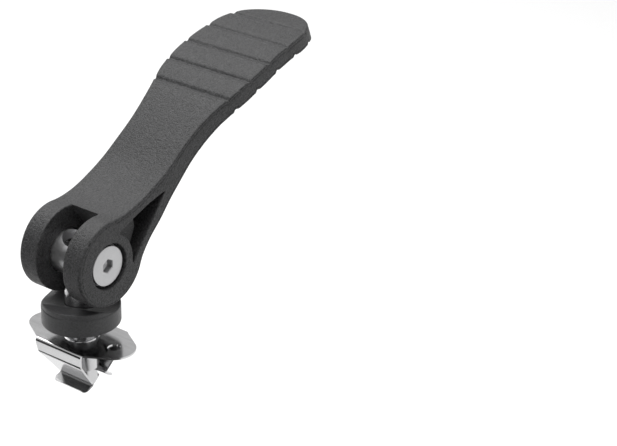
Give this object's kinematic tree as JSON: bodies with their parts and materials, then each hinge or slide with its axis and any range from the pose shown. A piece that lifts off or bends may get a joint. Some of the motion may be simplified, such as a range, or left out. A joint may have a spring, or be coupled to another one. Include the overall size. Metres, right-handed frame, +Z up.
{
  "type": "quarter-turn clamp lock",
  "caption": "Quarter-turn clamp lock: a flared plastic cam lever on a cross barrel, a stud with a cone tip, a pressure disc and a riveted spring retainer.",
  "frame": {"origin": "midway between the two rivet holes, on the upper face of the retainer plate", "axes": "+Z up the stud towards the pivot, Y along the pivot and the rivet holes, +X the way the handle points when clamped"},
  "size_m": [0.0935, 0.033, 0.0789],
  "materials": {
    "plastic": "fine spark-eroded grain",
    "disc_plastic": "smooth wall, grained top",
    "polished_steel": "polished",
    "plated_steel": "satin zinc plate",
    "spring_steel": "polished, lightly rolled",
    "rubber": "matt"
  },
  "bodies": {
    "retainer": {"retainer": "spring_steel"},
    "stud": {"stud": "polished_steel", "pivot_barrel": "polished_steel", "pivot_screw_front": "plated_steel", "pivot_screw_rear": "plated_steel"},
    "lever": {"lever": "plastic"},
    "friction_ring": {"friction_ring": "rubber"},
    "pressure_disc": {"pressure_disc": "disc_plastic"}
  },
  "joints": [
    {"name": "quarter_turn", "type": "hinge", "parent": "retainer", "child": "stud", "pos_m": [0, 0, 0], "axis": [0, 0, 1], "range_deg": [-90, 0]},
    {"name": "lever_swing", "type": "hinge", "parent": "stud", "child": "lever", "pos_m": [0, 0, 0.0222], "axis": [0, 1, 0], "range_deg": [-68, 22]},
    {"name": "disc_slide", "type": "slide", "parent": "stud", "child": "friction_ring", "axis": [0, 0, -1], "range_m": [-0.0007, 0.0003]},
    {"name": "disc_turn", "type": "hinge", "parent": "friction_ring", "child": "pressure_disc", "pos_m": [0, 0, 0.0042], "axis": [0, 0, 1], "continuous": true}
  ],
  "couplings": [
    {"joint": "disc_slide", "follows": "lever_swing", "m_per_rad": 0.000573}
  ]
}
